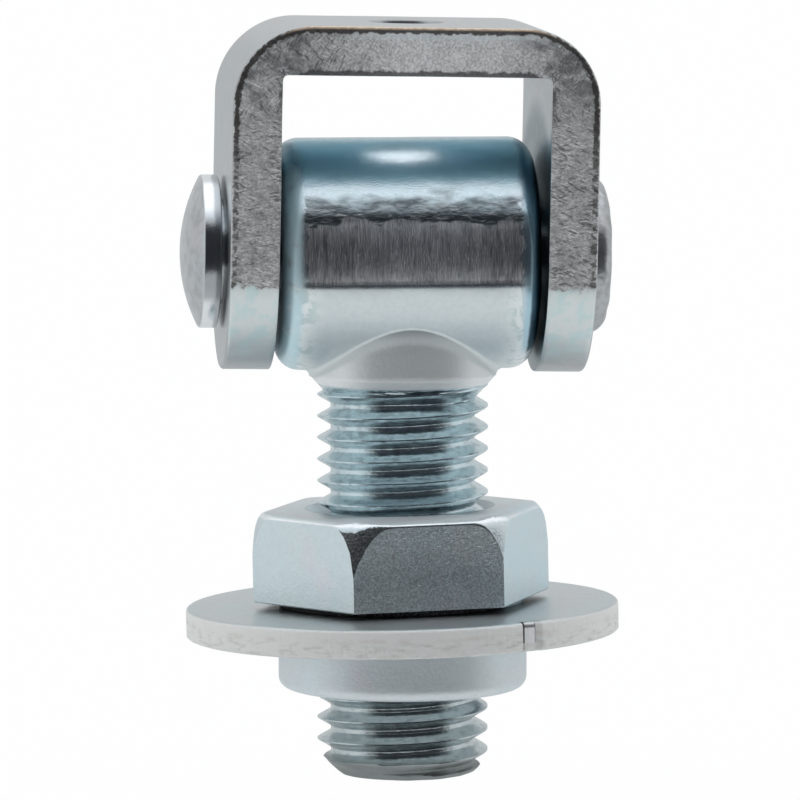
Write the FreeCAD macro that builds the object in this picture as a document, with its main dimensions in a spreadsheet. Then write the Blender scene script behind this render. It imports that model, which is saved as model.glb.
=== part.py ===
import FreeCAD, Part
import os

import Sketcher

os.makedirs("parts", exist_ok=True)
doc = FreeCAD.newDocument("gate_hinge")

# Driving dimensions in millimetres, and in degrees where a name ends in turn.
# The stem stands along Z, the hinge pin lies along X, and the origin is the
# centre of the face of the plate washer that seats on the gate's tube.
SIZES = {
    "thread_diameter": 19.7,
    "thread_shown": 14.85,
    "thread_below": 9.9,
    "thread_end_chamfer": 1.7,
    "thread_clearance": 0.07,
    "neck_step": 0.95,
    "neck_length": 1.75,
    "neck_taper": 1.1,
    "neck_blend": 0.6,
    "barrel_wall": 7.35,
    "barrel_length": 29.6,
    "barrel_edge": 2.75,
    "barrel_bore_edge": 0.5,
    "pin_diameter": 12.0,
    "pin_running": 0.08,
    "pin_seating": 0.02,
    "head_diameter": 17.6,
    "head_rim": 2.0,
    "head_dome": 2.75,
    "peened_diameter": 17.6,
    "peened_height": 2.55,
    "peened_edge": 1.8,
    "strap_thickness": 5.6,
    "strap_overhang": 0.15,
    "bend_inside": 0.6,
    "bend_thinning": 1.6,
    "edge_roll": 0.35,
    "leg_clearance": 0.5,
    "window_height": 7.65,
    "web_hole": 8.5,
    "nut_flats": 30.0,
    "nut_height": 10.6,
    "nut_crown": 4.0,
    "nut_seat": 0.8,
    "nut_seat_diameter": 28.4,
    "nut_turn": 6.0,
    "plate_diameter": 50.0,
    "plate_thickness": 3.4,
    "plate_clearance": 0.55,
    "plate_edge": 0.5,
    "nick_depth": 0.5,
    "nick_turn": 27.0,
    "nick_run_turn": 5.0,
    "collar_wall": 4.43,
    "collar_height": 6.3,
    "collar_edge": 1.3,
    "bore_chamfer": 0.9,
}

sheet = doc.addObject("Spreadsheet::Sheet", "Size")
for row, (name, value) in enumerate(SIZES.items(), 1):
    sheet.set(f"A{row}", name)
    sheet.set(f"B{row}", str(value))
    sheet.setAlias(f"B{row}", name)
doc.recompute()

# Sizes and places that follow from those, and from the stack of pieces on the stem.
CREST = "Size.thread_diameter / 2"
BORE = "(Size.thread_diameter + 2 * Size.thread_clearance)"
COLLAR = f"({BORE} + 2 * Size.collar_wall)"
NECK = f"({CREST} + Size.neck_step)"
BARREL = "(Size.pin_diameter / 2 + Size.barrel_wall)"
NECK_DROP = f"({BARREL} + Size.neck_length)"
PIN_AXIS = f"Size.plate_thickness + Size.nut_height + Size.thread_shown + {NECK_DROP}"
STEM_TIP = f"-({PIN_AXIS} + Size.collar_height + Size.thread_below)"
NUT_CORNERS = "Size.nut_flats / sqrt(3) * 2"
LEG_INNER = "(Size.barrel_length / 2 + Size.leg_clearance)"
LEG_OUTER = f"({LEG_INNER} + Size.strap_thickness)"
HALF_STRAP = f"({BARREL} + Size.strap_overhang)"
WEB_INNER = f"({BARREL} + Size.window_height)"
WEB_OUTER = f"({WEB_INNER} + Size.strap_thickness)"
BEND_OUTSIDE = "(Size.bend_inside + Size.strap_thickness + Size.bend_thinning)"


def measure(text):
    """The number that an expression on the sheet stands for."""
    return float(sheet.evalExpression(text))


def new_body(name, height="0"):
    """A body of its own whose local origin stands at a height on the stem."""
    body = doc.addObject("PartDesign::Body", name)
    body.Label = name
    body.setExpression(".Placement.Base.z", height)
    return body


def new_sketch(body, name, plane):
    """An empty sketch on one of the body's own origin planes."""
    sketch = body.newObject("Sketcher::SketchObject", name)
    planes = [item for item in body.Origin.OriginFeatures if item.Role == plane]
    sketch.AttachmentSupport = [(planes[0], "")]
    sketch.MapMode = "FlatFace"
    return sketch


def hold_point(sketch, geometry, place, across, up):
    """Tie one point of a sketch to the origin by two expressions."""
    for axis, kind, text in ((-2, "DistanceX", across), (-1, "DistanceY", up)):
        if text == "0":
            sketch.addConstraint(Sketcher.Constraint("PointOnObject", geometry, place, axis))
        else:
            rule = Sketcher.Constraint(kind, -1, 1, geometry, place, measure(text))
            number = sketch.addConstraint(rule)
            sketch.setExpression(f"Constraints[{number}]", text)


def draw_outline(sketch, corners, domes=()):
    """A closed outline through corners, each a pair of expressions.

    A run whose number is in domes is an arc centred on the sketch's
    horizontal axis instead of a straight line.
    """
    spots = [FreeCAD.Vector(measure(across), measure(up), 0) for across, up in corners]
    count = len(spots)
    for run, start in enumerate(spots):
        end = spots[(run + 1) % count]
        if run in domes:
            offset = (end.x**2 + end.y**2 - start.x**2 - start.y**2) / 2 / (end.x - start.x)
            middle = FreeCAD.Vector(offset, 0, 0)
            swing = (start - middle).normalize() + (end - middle).normalize()
            bulge = middle + swing.normalize() * (start - middle).Length
            sketch.addGeometry(Part.Arc(start, bulge, end), False)
        else:
            sketch.addGeometry(Part.LineSegment(start, end), False)
    ends = []
    for run, start in enumerate(spots):
        forward = sketch.getPoint(run, 1).distanceToPoint(start) < 0.001
        ends.append((1, 2) if forward else (2, 1))
    for run in range(count):
        after = (run + 1) % count
        join = Sketcher.Constraint("Coincident", run, ends[run][1], after, ends[after][0])
        sketch.addConstraint(join)
        hold_point(sketch, run, ends[run][0], *corners[run])
        if run in domes:
            sketch.addConstraint(Sketcher.Constraint("PointOnObject", run, 3, -1))


def draw_circle(sketch, diameter):
    """A circle about the sketch's origin."""
    shape = Part.Circle(FreeCAD.Vector(0, 0, 0), FreeCAD.Vector(0, 0, 1), measure(diameter) / 2)
    ring = sketch.addGeometry(shape, False)
    sketch.addConstraint(Sketcher.Constraint("Coincident", ring, 3, -1, 1))
    rule = Sketcher.Constraint("Diameter", ring, measure(diameter))
    number = sketch.addConstraint(rule)
    sketch.setExpression(f"Constraints[{number}]", diameter)


def add_pad(body, name, sketch, length, both_sides=False, downward=False):
    """Raise a sketch into a solid."""
    pad = body.newObject("PartDesign::Pad", name)
    pad.Profile = sketch
    pad.SideType = "Symmetric" if both_sides else "One side"
    pad.Reversed = downward
    pad.setExpression("Length", length)
    doc.recompute()
    return pad


def cut_through(body, name, sketch):
    """Cut a sketch through the whole body, to both sides of its plane."""
    before = body.Shape.Volume
    pocket = body.newObject("PartDesign::Pocket", name)
    pocket.Profile = sketch
    pocket.SideType = "Symmetric"
    pocket.Type = "ThroughAll"
    doc.recompute()
    if not body.Shape.Volume < before:
        raise RuntimeError(f"{name} cuts nothing")
    return pocket


def add_revolution(body, name, sketch, axis):
    """Turn a sketch about one of its own axes."""
    turned = body.newObject("PartDesign::Revolution", name)
    turned.Profile = sketch
    turned.ReferenceAxis = (sketch, [axis])
    turned.Angle = 360
    doc.recompute()
    return turned


def edges_where(feature, test):
    """Names of the feature's edges whose middle point passes a test."""
    names = []
    for number, edge in enumerate(feature.Shape.Edges, 1):
        middle = edge.valueAt((edge.FirstParameter + edge.LastParameter) / 2)
        if test(edge, middle):
            names.append(f"Edge{number}")
    return names


def round_edges(body, name, feature, radius, test):
    """Fillet the edges that pass a test."""
    fillet = body.newObject("PartDesign::Fillet", name)
    fillet.Base = (feature, edges_where(feature, test))
    fillet.setExpression("Radius", radius)
    doc.recompute()
    return fillet


def bevel_edges(body, name, feature, size, test):
    """Chamfer the edges that pass a test."""
    chamfer = body.newObject("PartDesign::Chamfer", name)
    chamfer.Base = (feature, edges_where(feature, test))
    chamfer.setExpression("Size", size)
    doc.recompute()
    return chamfer


def near(first, second):
    """Whether two lengths agree within a hundredth of a millimetre."""
    return abs(first - second) < 0.01


def ring_at(diameter, height):
    """A test for round edges about Z of one diameter at one height."""

    def test(edge, middle):
        radius = (middle.x**2 + middle.y**2) ** 0.5
        return near(radius, measure(diameter) / 2) and near(middle.z, measure(height))

    return test


def make_round_nut():
    """Round threaded nut that is let into the end of the gate's tube."""
    body = new_body("round_nut")
    blank = new_sketch(body, "collar_circle", "XY_Plane")
    draw_circle(blank, COLLAR)
    collar = add_pad(body, "collar", blank, "Size.collar_height", downward=True)
    rim = ring_at(COLLAR, "-Size.collar_height")
    round_edges(body, "collar_rounding", collar, "Size.collar_edge", rim)
    hole = new_sketch(body, "collar_thread", "XY_Plane")
    draw_circle(hole, BORE)
    bored = cut_through(body, "collar_bore", hole)
    mouth = ring_at(BORE, "-Size.collar_height")
    bevel_edges(body, "collar_mouth", bored, "Size.bore_chamfer", mouth)
    return body


def make_plate_washer():
    """Wide flat washer that lies on the round nut and covers the tube's end."""
    body = new_body("plate_washer")
    blank = new_sketch(body, "plate_circle", "XY_Plane")
    draw_circle(blank, "Size.plate_diameter")
    disc = add_pad(body, "plate", blank, "Size.plate_thickness")
    hole = new_sketch(body, "plate_hole", "XY_Plane")
    draw_circle(hole, "Size.thread_diameter + 2 * Size.plate_clearance")
    bored = cut_through(body, "plate_bored", hole)

    def rim(edge, middle):
        return near((middle.x**2 + middle.y**2) ** 0.5, measure("Size.plate_diameter / 2"))

    bevel_edges(body, "plate_bevel", bored, "Size.plate_edge", rim)
    # The nick has one steep side and runs out along the rim.
    root = "(Size.plate_diameter / 2 - Size.nick_depth)"
    clear = "(Size.plate_diameter / 2 + Size.nick_depth)"
    far = "(Size.nick_turn + 2 * Size.nick_run_turn)"
    nick = new_sketch(body, "nick_outline", "XY_Plane")
    draw_outline(nick, [
        (f"{root} * sin(Size.nick_turn)", f"-{root} * cos(Size.nick_turn)"),
        (f"{clear} * sin(Size.nick_turn)", f"-{clear} * cos(Size.nick_turn)"),
        (f"{clear} * sin({far})", f"-{clear} * cos({far})"),
    ])
    cut_through(body, "nick", nick)
    return body


def make_lock_nut():
    """Thin hexagon nut with a crowned top that locks the stem."""
    body = new_body("lock_nut", "Size.plate_thickness")
    body.Placement.Rotation = FreeCAD.Rotation(FreeCAD.Vector(0, 0, 1), 0)
    body.setExpression(".Placement.Rotation.Angle", "Size.nut_turn")
    # Only a low round seat touches the plate, and the hexagon stands clear of it.
    seat = new_sketch(body, "nut_seat_circle", "XY_Plane")
    draw_circle(seat, "Size.nut_seat_diameter")
    add_pad(body, "nut_seat", seat, "Size.nut_height / 2")
    blank = new_sketch(body, "nut_circle", "XY_Plane")
    blank.setExpression(".AttachmentOffset.Base.z", "Size.nut_seat")
    draw_circle(blank, NUT_CORNERS)
    turned = add_pad(body, "nut_blank", blank, "Size.nut_height - Size.nut_seat")
    top = ring_at(NUT_CORNERS, "Size.nut_height")
    round_edges(body, "nut_crowned", turned, "Size.nut_crown", top)
    # The six flats come off the round blank, two of them square to Y.
    flats = new_sketch(body, "nut_flats_outline", "XY_Plane")
    draw_outline(flats, [
        ("Size.nut_flats / sqrt(3)", "0"),
        ("Size.nut_flats / sqrt(3) / 2", "Size.nut_flats / 2"),
        ("-Size.nut_flats / sqrt(3) / 2", "Size.nut_flats / 2"),
        ("-Size.nut_flats / sqrt(3)", "0"),
        ("-Size.nut_flats / sqrt(3) / 2", "-Size.nut_flats / 2"),
        ("Size.nut_flats / sqrt(3) / 2", "-Size.nut_flats / 2"),
    ])
    draw_circle(flats, f"{NUT_CORNERS} * 1.5")
    cut_through(body, "nut_flats_cut", flats)
    hole = new_sketch(body, "nut_thread", "XY_Plane")
    draw_circle(hole, BORE)
    bored = cut_through(body, "nut_bore", hole)

    def mouths(edge, middle):
        ends = near(middle.z, 0) or near(middle.z, measure("Size.nut_height"))
        return ends and near((middle.x**2 + middle.y**2) ** 0.5, measure(BORE) / 2)

    bevel_edges(body, "nut_mouths", bored, "Size.bore_chamfer", mouths)
    return body


def make_eye_bolt():
    """Forged eye: a crosswise barrel, a short neck and a threaded stem."""
    body = new_body("eye_bolt", PIN_AXIS)
    ring = new_sketch(body, "barrel_circle", "YZ_Plane")
    draw_circle(ring, f"2 * {BARREL}")
    barrel = add_pad(body, "barrel", ring, "Size.barrel_length", both_sides=True)

    def rims(edge, middle):
        return near(abs(middle.x), measure("Size.barrel_length / 2"))

    round_edges(body, "barrel_rounding", barrel, "Size.barrel_edge", rims)
    # The neck starts inside the barrel and tapers down to the thread.
    side = new_sketch(body, "stem_outline", "XZ_Plane")
    draw_outline(side, [
        ("0", "0"),
        (NECK, "0"),
        (NECK, f"-({NECK_DROP} - Size.neck_taper)"),
        (CREST, f"-{NECK_DROP}"),
        (CREST, f"{STEM_TIP} + Size.thread_end_chamfer"),
        (f"{CREST} - Size.thread_end_chamfer", STEM_TIP),
        ("0", STEM_TIP),
    ])
    stem = add_revolution(body, "stem", side, "V_Axis")

    def seam(edge, middle):
        on_barrel = near((middle.y**2 + middle.z**2) ** 0.5, measure(BARREL))
        on_neck = near((middle.x**2 + middle.y**2) ** 0.5, measure(NECK))
        return on_barrel and on_neck

    round_edges(body, "neck_rounding", stem, "Size.neck_blend", seam)
    eye = new_sketch(body, "eye_circle", "YZ_Plane")
    draw_circle(eye, "Size.pin_diameter + 2 * Size.pin_running")
    bored = cut_through(body, "eye_bore", eye)

    def eye_mouths(edge, middle):
        radius = (middle.y**2 + middle.z**2) ** 0.5
        return rims(edge, middle) and near(radius, measure("Size.pin_diameter / 2 + Size.pin_running"))

    bevel_edges(body, "eye_mouths", bored, "Size.barrel_bore_edge", eye_mouths)
    return body


def make_u_bracket():
    """Flat bar folded into a U that straddles the barrel."""
    body = new_body("u_bracket", PIN_AXIS)
    # The fold is drawn square. The bar thins at its bends, so they are
    # nearly sharp inside and wider than a parallel bend outside.
    low = f"-{HALF_STRAP}"
    front = new_sketch(body, "fold_outline", "XZ_Plane")
    draw_outline(front, [
        (f"-{LEG_OUTER}", low),
        (f"-{LEG_OUTER}", WEB_OUTER),
        (LEG_OUTER, WEB_OUTER),
        (LEG_OUTER, low),
        (LEG_INNER, low),
        (LEG_INNER, WEB_INNER),
        (f"-{LEG_INNER}", WEB_INNER),
        (f"-{LEG_INNER}", low),
    ])
    strap = add_pad(body, "strap", front, f"2 * {HALF_STRAP}", both_sides=True)

    def bend(across, up):
        def test(edge, middle):
            level = near(middle.y, 0) and near(abs(middle.x), measure(across))
            return level and near(middle.z, measure(up))

        return test

    inner = bend(LEG_INNER, WEB_INNER)
    folded = round_edges(body, "inner_bends", strap, "Size.bend_inside", inner)
    outer = bend(LEG_OUTER, WEB_OUTER)
    round_edges(body, "outer_bends", folded, BEND_OUTSIDE, outer)
    # Both leg ends are cropped to a half circle about the pin.
    ends = new_sketch(body, "leg_end_outline", "YZ_Plane")
    draw_leg_end(ends, HALF_STRAP)
    cut_through(body, "leg_ends", ends)
    eyes = new_sketch(body, "leg_holes_circle", "YZ_Plane")
    draw_circle(eyes, "Size.pin_diameter + 2 * Size.pin_seating")
    cut_through(body, "leg_holes", eyes)
    top = new_sketch(body, "web_hole_circle", "XY_Plane")
    draw_circle(top, "Size.web_hole")
    bored = cut_through(body, "web_hole_cut", top)

    def outside_edge(edge, middle):
        reach = measure(HALF_STRAP)
        side = near(abs(middle.y), reach)
        end = middle.z < 0 and near((middle.y**2 + middle.z**2) ** 0.5, reach)
        corner = measure(f"{LEG_OUTER} - {BEND_OUTSIDE}")
        level = measure(f"{WEB_OUTER} - {BEND_OUTSIDE}")
        skin = near(abs(middle.x), measure(LEG_OUTER)) or near(middle.z, measure(WEB_OUTER))
        fold = abs(middle.x) > corner and middle.z > level
        radius = ((abs(middle.x) - corner) ** 2 + (middle.z - level) ** 2) ** 0.5
        curved = fold and near(radius, measure(BEND_OUTSIDE))
        return (side or end) and (skin or curved)

    round_edges(body, "shear_roll", bored, "Size.edge_roll", outside_edge)
    return body


def draw_leg_end(sketch, half):
    """What is cropped from a leg end, below a half circle about the pin."""
    wide = measure(half)
    deep = 2 * wide
    left = FreeCAD.Vector(-wide, 0, 0)
    right = FreeCAD.Vector(wide, 0, 0)
    floor_left = FreeCAD.Vector(-wide, -deep, 0)
    floor_right = FreeCAD.Vector(wide, -deep, 0)
    sketch.addGeometry(Part.Arc(left, FreeCAD.Vector(0, -wide, 0), right), False)
    sketch.addGeometry(Part.LineSegment(right, floor_right), False)
    sketch.addGeometry(Part.LineSegment(floor_right, floor_left), False)
    sketch.addGeometry(Part.LineSegment(floor_left, left), False)
    arc_left, arc_right = (1, 2) if sketch.getPoint(0, 1).x < 0 else (2, 1)
    sketch.addConstraint(Sketcher.Constraint("Coincident", 0, arc_right, 1, 1))
    sketch.addConstraint(Sketcher.Constraint("Coincident", 1, 2, 2, 1))
    sketch.addConstraint(Sketcher.Constraint("Coincident", 2, 2, 3, 1))
    sketch.addConstraint(Sketcher.Constraint("Coincident", 3, 2, 0, arc_left))
    hold_point(sketch, 1, 1, half, "0")
    hold_point(sketch, 2, 1, half, f"-2 * {half}")
    hold_point(sketch, 3, 1, f"-{half}", f"-2 * {half}")
    hold_point(sketch, 3, 2, f"-{half}", "0")
    sketch.addConstraint(Sketcher.Constraint("PointOnObject", 0, 3, -1))


def make_rivet_pin():
    """Hinge pin: a rivet with a domed head and a peened head."""
    body = new_body("rivet_pin", PIN_AXIS)
    shank = "Size.pin_diameter / 2"
    rim = "Size.head_diameter / 2"
    peened = "Size.peened_diameter / 2"
    side = new_sketch(body, "rivet_outline", "XZ_Plane")
    draw_outline(side, [
        (f"-({LEG_OUTER} + Size.head_rim + Size.head_dome)", "0"),
        (f"-({LEG_OUTER} + Size.head_rim)", rim),
        (f"-{LEG_OUTER}", rim),
        (f"-{LEG_OUTER}", shank),
        (LEG_OUTER, shank),
        (LEG_OUTER, peened),
        (f"{LEG_OUTER} + Size.peened_height", peened),
        (f"{LEG_OUTER} + Size.peened_height", "0"),
    ], domes=(0,))
    turned = add_revolution(body, "rivet", side, "H_Axis")

    def peened_rim(edge, middle):
        face = near(middle.x, measure(f"{LEG_OUTER} + Size.peened_height"))
        return face and near((middle.y**2 + middle.z**2) ** 0.5, measure(peened))

    round_edges(body, "peened_rounding", turned, "Size.peened_edge", peened_rim)
    return body


bodies = [
    make_round_nut(),
    make_plate_washer(),
    make_lock_nut(),
    make_eye_bolt(),
    make_u_bracket(),
    make_rivet_pin(),
]
doc.recompute()

for item in doc.Objects:
    if "Invalid" in item.State or "Error" in item.State:
        raise RuntimeError(f"{item.Name} failed: {item.State}")
for body in bodies:
    if body.Shape.isNull() or not body.Shape.isValid():
        raise RuntimeError(f"{body.Label} has no valid shape")
for body in bodies:
    body.Shape.exportStep(f"parts/{body.Label}.step")
    box = body.Shape.BoundBox
    print(f"{body.Label}: {len(body.Shape.Solids)} solid, {body.Shape.Volume:.1f} mm3, "
          f"x {box.XMin:.2f} {box.XMax:.2f}, y {box.YMin:.2f} {box.YMax:.2f}, "
          f"z {box.ZMin:.2f} {box.ZMax:.2f}")
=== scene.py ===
import math

import bmesh
import bpy
from mathutils import Matrix, Vector, geometry, noise


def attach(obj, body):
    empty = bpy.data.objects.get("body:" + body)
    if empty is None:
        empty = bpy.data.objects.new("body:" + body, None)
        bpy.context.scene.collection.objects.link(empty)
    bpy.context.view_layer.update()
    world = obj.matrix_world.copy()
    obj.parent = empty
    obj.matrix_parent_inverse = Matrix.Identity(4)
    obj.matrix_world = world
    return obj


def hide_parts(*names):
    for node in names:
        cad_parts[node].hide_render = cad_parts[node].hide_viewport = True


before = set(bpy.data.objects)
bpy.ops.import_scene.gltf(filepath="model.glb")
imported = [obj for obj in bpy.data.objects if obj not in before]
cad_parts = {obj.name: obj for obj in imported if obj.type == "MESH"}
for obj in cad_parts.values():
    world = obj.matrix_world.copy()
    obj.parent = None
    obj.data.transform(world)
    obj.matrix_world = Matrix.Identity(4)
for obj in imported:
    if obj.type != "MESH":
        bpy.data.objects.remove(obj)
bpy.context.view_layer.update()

MM = 0.001


# The round nut is turned from steel bar, threaded right through and zinc plated.
# The gate's tube takes it in, so its wall is plain and finely turned.


def steps(start, end, count):
    """Evenly spaced numbers from start to end, both included."""
    return [start + (end - start) * i / count for i in range(count + 1)]


def arc(middle, radii, start, end, count):
    """Points of an arc in a profile, from one angle to another in degrees."""
    points = []
    for angle in steps(math.radians(start), math.radians(end), count):
        across = middle[0] + radii[0] * math.cos(angle)
        up = middle[1] + radii[1] * math.sin(angle)
        points.append((across, up))
    return points


def around_z(radius, height, turn):
    """A point about the stem's line; turn 0 faces right and three quarters of a turn the front."""
    return Vector((radius * math.cos(turn), radius * math.sin(turn), height))


def ease(value, low, high):
    """Rises smoothly from 0 at low to 1 at high."""
    share = min(max((value - low) / (high - low), 0.0), 1.0)
    return share * share * (3 - 2 * share)


WELD = 0.002  # points closer than this become one


class Blank:
    """The points and faces of one piece, in millimetres, before it is plated."""

    def __init__(self):
        self.points = []
        self.faces = []

    def skin(self, rows):
        """Joins each row of points to the next one."""
        first = len(self.points)
        width = len(rows[0])
        for row in rows:
            self.points.extend(row)
        for i in range(len(rows) - 1):
            for k in range(width - 1):
                corner = first + i * width + k
                beside = corner + width
                self.faces.append((corner, corner + 1, beside + 1, beside))

    def make(self, name, body, node, material, crease=38, lean=None):
        """The finished piece, which rides on its body and stands for a CAD node."""
        mesh = bpy.data.meshes.new(name)
        mesh.from_pydata([point * MM for point in self.points], [], self.faces)
        shell = bmesh.new()
        shell.from_mesh(mesh)
        bmesh.ops.remove_doubles(shell, verts=shell.verts, dist=WELD * MM)
        bmesh.ops.recalc_face_normals(shell, faces=shell.faces)
        shell.to_mesh(mesh)
        shell.free()
        mesh.shade_smooth()
        mesh.set_sharp_from_angle(angle=math.radians(crease))
        mesh.materials.append(material)
        piece = bpy.data.objects.new(name, mesh)
        bpy.context.scene.collection.objects.link(piece)
        if lean:
            piece.matrix_world = lean
        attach(piece, body)
        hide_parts(node)
        return piece


PITCH = 2.5
CREST_RADIUS = 9.85
THREAD_DEPTH = 1.53
CREST_LEVEL = 25.2  # a crest on the left of the stem
CREST_HALF = 0.04  # half a crest's width, in pitches
FLANK_WIDTH = 0.353  # in pitches
THREAD_GAP = 0.07
MOUTH = 10.82
ROW_SHARES = (0, 0.03, 0.1, 0.17, 0.24, 0.31, 0.38, 0.44, 0.5, 0.56, 0.62, 0.69, 0.76, 0.83, 0.9, 0.97)


def ridge(height, turn):
    """Radius of the stem's thread at a height and a turn."""
    laps = (height - CREST_LEVEL) / PITCH - (turn - math.pi) / math.tau
    off = abs(laps - round(laps))
    fall = min(max((off - CREST_HALF) / FLANK_WIDTH, 0.0), 1.0)
    return CREST_RADIUS - THREAD_DEPTH * fall


def cut_thread(blank, turns, low, high, radius):
    """A threaded wall from low to high, whose rows follow the thread."""
    rows = []
    first = math.floor((low - CREST_LEVEL) / PITCH) - 1
    last = math.ceil((high - CREST_LEVEL) / PITCH) + 1
    for lap in range(first, last):
        for share in ROW_SHARES:
            start = CREST_LEVEL + (lap + share) * PITCH
            row = []
            for turn in turns:
                height = start + PITCH * (turn - math.pi) / math.tau
                height = min(max(height, low), high)
                row.append(around_z(radius(height, turn), height, turn))
            rows.append(row)
    blank.skin(rows)


def tapped_hole(blank, turns, low, high, play=THREAD_GAP):
    """A nut's thread, with a bevelled mouth at both ends."""

    def radius(height, turn):
        wall = ridge(height, turn) + play
        return max(wall, MOUTH - (height - low), MOUTH - (high - height))

    cut_thread(blank, turns, low, high, radius)


class Nodes:
    """Writes a node tree one node at a time. A share is a number from 0 to 1 at each place."""

    def __init__(self, tree):
        self.tree = tree

    def add(self, kind, inputs=None, output=0, **settings):
        """A node's output, with its inputs set or linked."""
        node = self.tree.nodes.new("ShaderNode" + kind)
        for name, value in settings.items():
            setattr(node, name, value)
        for socket, value in (inputs or {}).items():
            if isinstance(value, bpy.types.NodeSocket):
                self.tree.links.new(value, node.inputs[socket])
            else:
                node.inputs[socket].default_value = value
        return node.outputs[output]

    def math(self, operation, first, second=0.0):
        return self.add("Math", {0: first, 1: second}, operation=operation)

    def both(self, first, *others):
        """The product of some shares, which is 1 only where each of them is."""
        for other in others:
            first = self.math("MULTIPLY", first, other)
        return first

    def without(self, share):
        return self.math("SUBTRACT", 1.0, share)

    def size(self, value):
        """A value without its sign."""
        return self.math("ABSOLUTE", value)

    def distance(self, first, second):
        """How far a point lies from the middle, from its places in two directions."""
        squares = self.math("ADD", self.math("POWER", first, 2), self.math("POWER", second, 2))
        return self.math("POWER", squares, 0.5)

    def angle(self, rise, run):
        """The slope of a rise over a run, in degrees."""
        return self.math("MULTIPLY", self.math("ARCTAN2", rise, run), 180 / math.pi)

    def bearing(self, across, deep):
        """Degrees round from the front towards the right."""
        return self.angle(across, self.math("MULTIPLY", deep, -1))

    def rise(self, value, start, end, top=1.0, bottom=0.0):
        """Goes smoothly from bottom to top as a value goes from start to end."""
        ends = {"Value": value, "From Min": start, "From Max": end}
        ends.update({"To Min": bottom, "To Max": top})
        return self.add("MapRange", ends, interpolation_type="SMOOTHSTEP")

    def band(self, value, low, high, soft):
        """1 between low and high, with soft edges."""
        return self.both(self.rise(value, low - soft, low + soft), self.rise(value, high + soft, high - soft))

    def blend(self, share, first, second):
        """One number over another."""
        return self.add("Mix", {0: share, 2: first, 3: second})

    def mix(self, share, first, second):
        """One colour over another."""
        return self.add("Mix", {0: share, 6: first, 7: second}, 2, data_type="RGBA")

    def split(self, vector):
        node = self.tree.nodes.new("ShaderNodeSeparateXYZ")
        self.tree.links.new(vector, node.inputs[0])
        return node.outputs


def tone(red, green, blue):
    """A colour of three parts, with full cover."""
    return (red, green, blue, 1.0)


BLUER = (0.95, 1.01, 1.04)
PINKER = (1.03, 0.98, 1.01)
GREYER = (0.88, 0.88, 0.88)


class Plating(Nodes):
    """Bright zinc with a pale blue film, to which each piece adds its own marks and, on some parts, painted
    highlights, reflections and shade.
    """

    def __init__(self, name, colour, roughness, metal=1.0):
        self.material = bpy.data.materials.new(name)
        self.material.use_nodes = True
        super().__init__(self.material.node_tree)
        self.shader = self.tree.nodes["Principled BSDF"]
        where = self.tree.nodes.new("ShaderNodeTexCoord")
        per_metre = (1 / MM, 1 / MM, 1 / MM)
        self.place = self.add("VectorMath", {0: where.outputs["Object"], 1: per_metre}, operation="MULTIPLY")
        self.facing = self.split(where.outputs["Normal"])
        self.normal = None
        self.metal = metal
        self.colour = tone(*colour)
        self.paint(self.tinted(colour, BLUER), self.cloud(9))
        self.paint(self.tinted(colour, PINKER), self.cloud(6, low=0.52, high=0.72))
        self.paint(self.tinted(colour, GREYER), self.cloud(0.5, detail=4, low=0.35, high=0.75), 0.4)
        smear = self.cloud(1.2, detail=4)
        self.rough = self.rise(smear, 0.0, 1.0, top=roughness * 1.06, bottom=roughness * 0.94)

    @staticmethod
    def tinted(colour, tint):
        return tuple(part * share for part, share in zip(colour, tint))

    def grain(self, place, scale, detail, seed):
        """Noise from 0 to 1, with the places scaled in each direction."""
        place = self.add("VectorMath", {0: place, 1: scale, 2: (seed, seed, seed)}, operation="MULTIPLY_ADD")
        return self.add("TexNoise", {"Vector": place, "Scale": 1.0, "Detail": detail})

    def cloud(self, size, stretch=(1, 1, 1), detail=3, low=0.3, high=0.7, seed=0):
        """Soft marks of about this size, longer where stretch is over 1."""
        scale = tuple(1 / (size * part) for part in stretch)
        return self.rise(self.grain(self.place, scale, detail, seed), low, high)

    def paint(self, colour, *shares):
        """Lays a colour over the plating where all the shares are 1."""
        self.colour = self.mix(self.both(*shares), self.colour, tone(*colour))

    def dull(self, roughness, share):
        """Gives the plating another roughness where share is 1."""
        self.rough = self.blend(share, self.rough, roughness)

    def dust(self, metal, share):
        """Makes the plating less of a mirror where share is 1, as a thick matt film is."""
        self.metal = self.blend(share, self.metal, metal)

    def raise_by(self, depth, height, share=1.0):
        """Lifts the surface by a depth in millimetres where a height of 0 to 1 is 1."""
        inputs = {"Height": height, "Distance": depth * MM, "Strength": share}
        if self.normal:
            inputs["Normal"] = self.normal
        self.normal = self.add("Bump", inputs)

    def done(self):
        """The material, with all its marks linked to the shader."""
        self.tree.links.new(self.colour, self.shader.inputs["Base Color"])
        self.tree.links.new(self.rough, self.shader.inputs["Roughness"])
        if isinstance(self.metal, float):
            self.shader.inputs["Metallic"].default_value = self.metal
        else:
            self.tree.links.new(self.metal, self.shader.inputs["Metallic"])
        self.tree.links.new(self.normal, self.shader.inputs["Normal"])
        return self.material


TURNED_ZINC = (0.77, 0.82, 0.835)
COLLAR_RADIUS = 14.35
COLLAR_DEPTH = 6.3
COLLAR_EDGE = 1.3
COLLAR_WALL = COLLAR_EDGE - COLLAR_DEPTH + 0.7  # where the rings of the wall begin
SIDE_LEAN = math.radians(1.15)
FRONT_LEAN = math.radians(0.5)
askew = Matrix.Rotation(-SIDE_LEAN, 4, "Y") @ Matrix.Rotation(-FRONT_LEAN, 4, "X")


def under_plate(point):
    """Lets the nut's upper end follow the plate, which lies askew on it."""
    lift = point.x * math.tan(SIDE_LEAN) - point.y * math.tan(FRONT_LEAN)
    point.z += lift * (1 + point.z / COLLAR_DEPTH)
    return point


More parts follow.
